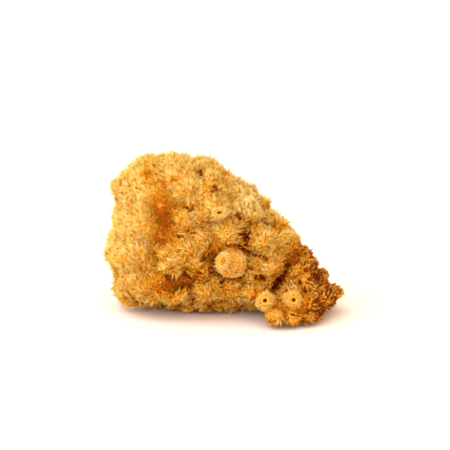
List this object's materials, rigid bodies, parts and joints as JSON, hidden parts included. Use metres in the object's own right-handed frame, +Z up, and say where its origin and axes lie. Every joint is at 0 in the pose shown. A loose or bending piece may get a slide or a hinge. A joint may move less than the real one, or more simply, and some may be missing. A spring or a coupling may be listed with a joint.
{
  "type": "sea sponge",
  "caption": "Natural golden sea sponge: a shaggy lobed mass with deep furrows, rimmed breathing holes, a low side foot and a flat cut base.",
  "frame": {"origin": "on the flat cut underneath, under the middle of the overall box", "axes": "+X to the right along the longest side, towards the low foot; +Y to the back; +Z up, away from the cut"},
  "size_m": [0.1548, 0.1096, 0.1009],
  "materials": {
    "sponge_fibre": "matt, shaggy"
  },
  "bodies": {
    "root": {"sponge": "sponge_fibre"}
  },
  "joints": []
}
